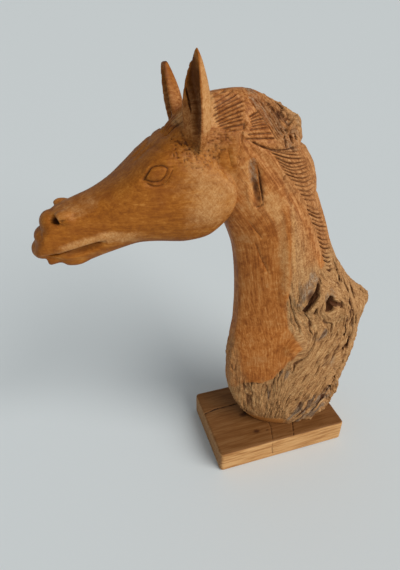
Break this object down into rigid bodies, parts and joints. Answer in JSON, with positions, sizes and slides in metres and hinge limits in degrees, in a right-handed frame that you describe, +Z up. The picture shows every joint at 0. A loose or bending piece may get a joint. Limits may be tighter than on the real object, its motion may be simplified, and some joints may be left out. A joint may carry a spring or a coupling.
{
  "type": "driftwood horse head sculpture",
  "caption": "Horse head and neck carved from one weathered driftwood log, with a grooved mane and upright ears, standing on a plain rectangular wooden board.",
  "frame": {"origin": "centre of the board's underside", "axes": "+Z up, -X the way the horse looks along the board's long side, -Y the horse's left side"},
  "size_m": [0.4666, 0.136, 0.6046],
  "materials": {
    "carved_driftwood": "oiled and softly polished on the carved face and throat, raw and weathered on the back and foot of the log",
    "board_wood": "sanded and lightly oiled, darker on top"
  },
  "bodies": {
    "root": {"horse_head": "carved_driftwood", "base_board": "board_wood"}
  },
  "joints": []
}
